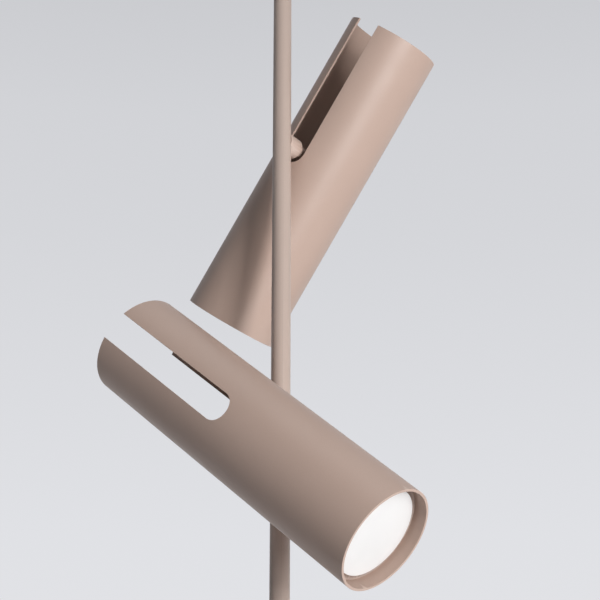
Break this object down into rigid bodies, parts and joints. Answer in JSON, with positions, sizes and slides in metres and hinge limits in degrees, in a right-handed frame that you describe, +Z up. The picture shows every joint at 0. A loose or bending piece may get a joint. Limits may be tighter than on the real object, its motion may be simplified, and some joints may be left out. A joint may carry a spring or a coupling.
{
  "type": "tension pole lamp",
  "caption": "Sprung floor-to-ceiling pole lamp with slotted tube spotlight shades that swivel on short arms.",
  "frame": {"origin": "centre of the floor pad's underside, on the pole's axis", "axes": "+Z up the pole; +Y from the pole along the upper arm; +X to the side, with the lock's knob"},
  "size_m": [0.2884, 0.2135, 2.5],
  "materials": {
    "paint": "satin pinkish beige paint",
    "steel": "zinc plated, satin",
    "dark_steel": "black oxide",
    "aluminium": "as cast and machined",
    "reflector": "bright spun",
    "rubber": "matt",
    "black_plastic": "matt nylon",
    "cable": "matt sheath",
    "board": "white board with a light-emitting disc",
    "opal": "opal, satin"
  },
  "bodies": {
    "pole": {"floor_pad": "rubber", "floor_cup": "paint", "floor_screw": "dark_steel", "cable_gland": "black_plastic", "pole_lower": "paint", "joiner_lower": "steel", "pole_middle": "paint", "joiner_upper": "steel", "pole_upper": "paint", "pole_lead": "cable", "lock_collar": "paint", "upper_arm": "paint", "upper_nipple": "steel", "upper_arm_lead": "cable", "upper_swivel_washer": "dark_steel", "upper_swivel_nut": "steel", "lower_arm": "paint", "lower_nipple": "steel", "lower_arm_lead": "cable", "lower_swivel_washer": "dark_steel", "lower_swivel_nut": "steel"},
    "lock": {"lock_screw": "dark_steel"},
    "telescope": {"inner_tube": "steel", "guide_bush": "black_plastic", "spring_seat": "steel", "tension_spring": "dark_steel"},
    "plunger": {"plunger_stem": "steel", "ceiling_cup": "paint", "ceiling_pad": "rubber"},
    "upper_knuckle": {"upper_block": "aluminium", "upper_block_cap": "dark_steel", "upper_stem": "steel", "upper_stem_nut": "dark_steel", "upper_head_lead": "cable"},
    "upper_head": {"upper_bridge": "aluminium", "upper_screws": "dark_steel", "upper_heat_sink": "aluminium", "upper_led_board": "board", "upper_reflector": "reflector", "upper_diffuser_ring": "paint", "upper_diffuser": "opal", "upper_shade": "paint"},
    "lower_knuckle": {"lower_block": "aluminium", "lower_block_cap": "dark_steel", "lower_stem": "steel", "lower_stem_nut": "dark_steel", "lower_head_lead": "cable"},
    "lower_head": {"lower_bridge": "aluminium", "lower_screws": "dark_steel", "lower_heat_sink": "aluminium", "lower_led_board": "board", "lower_reflector": "reflector", "lower_diffuser_ring": "paint", "lower_diffuser": "opal", "lower_shade": "paint"}
  },
  "joints": [
    {"name": "lock_turn", "type": "hinge", "parent": "pole", "child": "lock", "pos_m": [0.02, 0, 2.298], "axis": [1, 0, 0], "range_deg": [0, 360]},
    {"name": "height_slide", "type": "slide", "parent": "pole", "child": "telescope", "axis": [0, 0, 1], "range_m": [-0.05, 0.14]},
    {"name": "ceiling_spring", "type": "slide", "parent": "telescope", "child": "plunger", "axis": [0, 0, 1], "range_m": [-0.018, 0], "stiffness_N_per_m": 2200, "springref_m": 0.009, "deforming": ["tension_spring"]},
    {"name": "upper_swivel", "type": "hinge", "parent": "pole", "child": "upper_knuckle", "pos_m": [0, 0.0605, 1.727], "axis": [0, 1, 0], "range_deg": [-170, 170]},
    {"name": "upper_roll", "type": "hinge", "parent": "upper_knuckle", "child": "upper_head", "pos_m": [0, 0.0605, 1.727], "axis": [0.6074, 0, 0.7944], "range_deg": [-7.8, 7.8]},
    {"name": "lower_swivel", "type": "hinge", "parent": "pole", "child": "lower_knuckle", "pos_m": [0.00485, -0.0603, 1.45], "axis": [0.0802, -0.9968, 0], "range_deg": [-170, 170]},
    {"name": "lower_roll", "type": "hinge", "parent": "lower_knuckle", "child": "lower_head", "pos_m": [0.00485, -0.0603, 1.45], "axis": [-0.7591, -0.0611, 0.6481], "range_deg": [-15.6, 0]}
  ]
}
